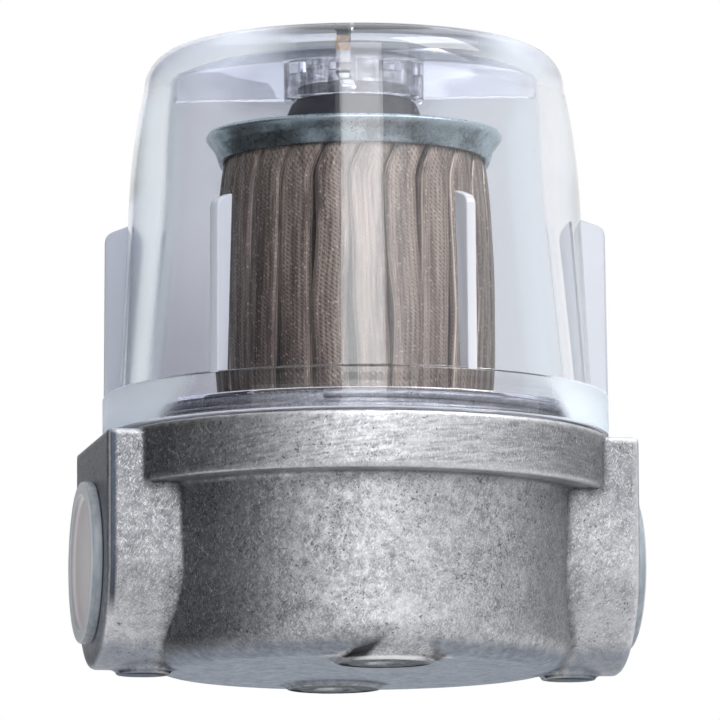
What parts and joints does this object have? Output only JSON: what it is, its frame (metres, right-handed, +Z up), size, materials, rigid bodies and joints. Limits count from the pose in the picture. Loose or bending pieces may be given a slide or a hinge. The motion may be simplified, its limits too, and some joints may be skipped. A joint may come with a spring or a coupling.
{
  "type": "heating oil filter",
  "caption": "In-line oil filter: cast head with two side ports, clear screw-on bowl with grip lugs, pleated mesh cartridge inside.",
  "frame": {"origin": "on the bowl's axis, in the plane of the base bosses that the head stands on", "axes": "+Z up along the bowl's axis, from the head to the dome; X along the two ports; -Y is the front"},
  "size_m": [0.0914, 0.083, 0.1046],
  "materials": {
    "cast_head": "tumbled die casting, mottled",
    "clear_bowl": "clear moulded plastic, glossy",
    "seal_rubber": "black seal rubber",
    "buffer_rubber": "dark grey rubber",
    "cap_zinc": "zinc-plated pressed steel",
    "wire_mesh": "fine twilled wire mesh",
    "core_steel": "plain perforated sheet",
    "bond_resin": "set adhesive",
    "plug_plastic": "soft translucent plastic"
  },
  "bodies": {
    "head": {"head_casting": "cast_head", "element_top_cap": "cap_zinc", "element_bottom_cap": "cap_zinc", "pleated_mesh": "wire_mesh", "core_tube": "core_steel", "top_bond_ring": "bond_resin", "bottom_bond_ring": "bond_resin", "outlet_gasket": "seal_rubber", "top_buffer": "buffer_rubber"},
    "seal": {"bowl_seal_ring": "seal_rubber"},
    "bowl": {"bowl": "clear_bowl"},
    "left_plug": {"left_port_plug": "plug_plastic"},
    "right_plug": {"right_port_plug": "plug_plastic"}
  },
  "joints": [
    {"name": "bowl_turn", "type": "hinge", "parent": "head", "child": "seal", "pos_m": [0, 0, 0.0388], "axis": [0, 0, 1], "range_deg": [0, 720]},
    {"name": "bowl_rise", "type": "slide", "parent": "seal", "child": "bowl", "axis": [0, 0, 1], "range_m": [0, 0.0036]},
    {"name": "left_plug_pull", "type": "slide", "parent": "head", "child": "left_plug", "axis": [-1, 0, 0], "range_m": [0, 0.014]},
    {"name": "right_plug_pull", "type": "slide", "parent": "head", "child": "right_plug", "axis": [1, 0, 0], "range_m": [0, 0.014]}
  ],
  "couplings": [
    {"joint": "bowl_rise", "follows": "bowl_turn", "m_per_rad": 0.00027852}
  ]
}
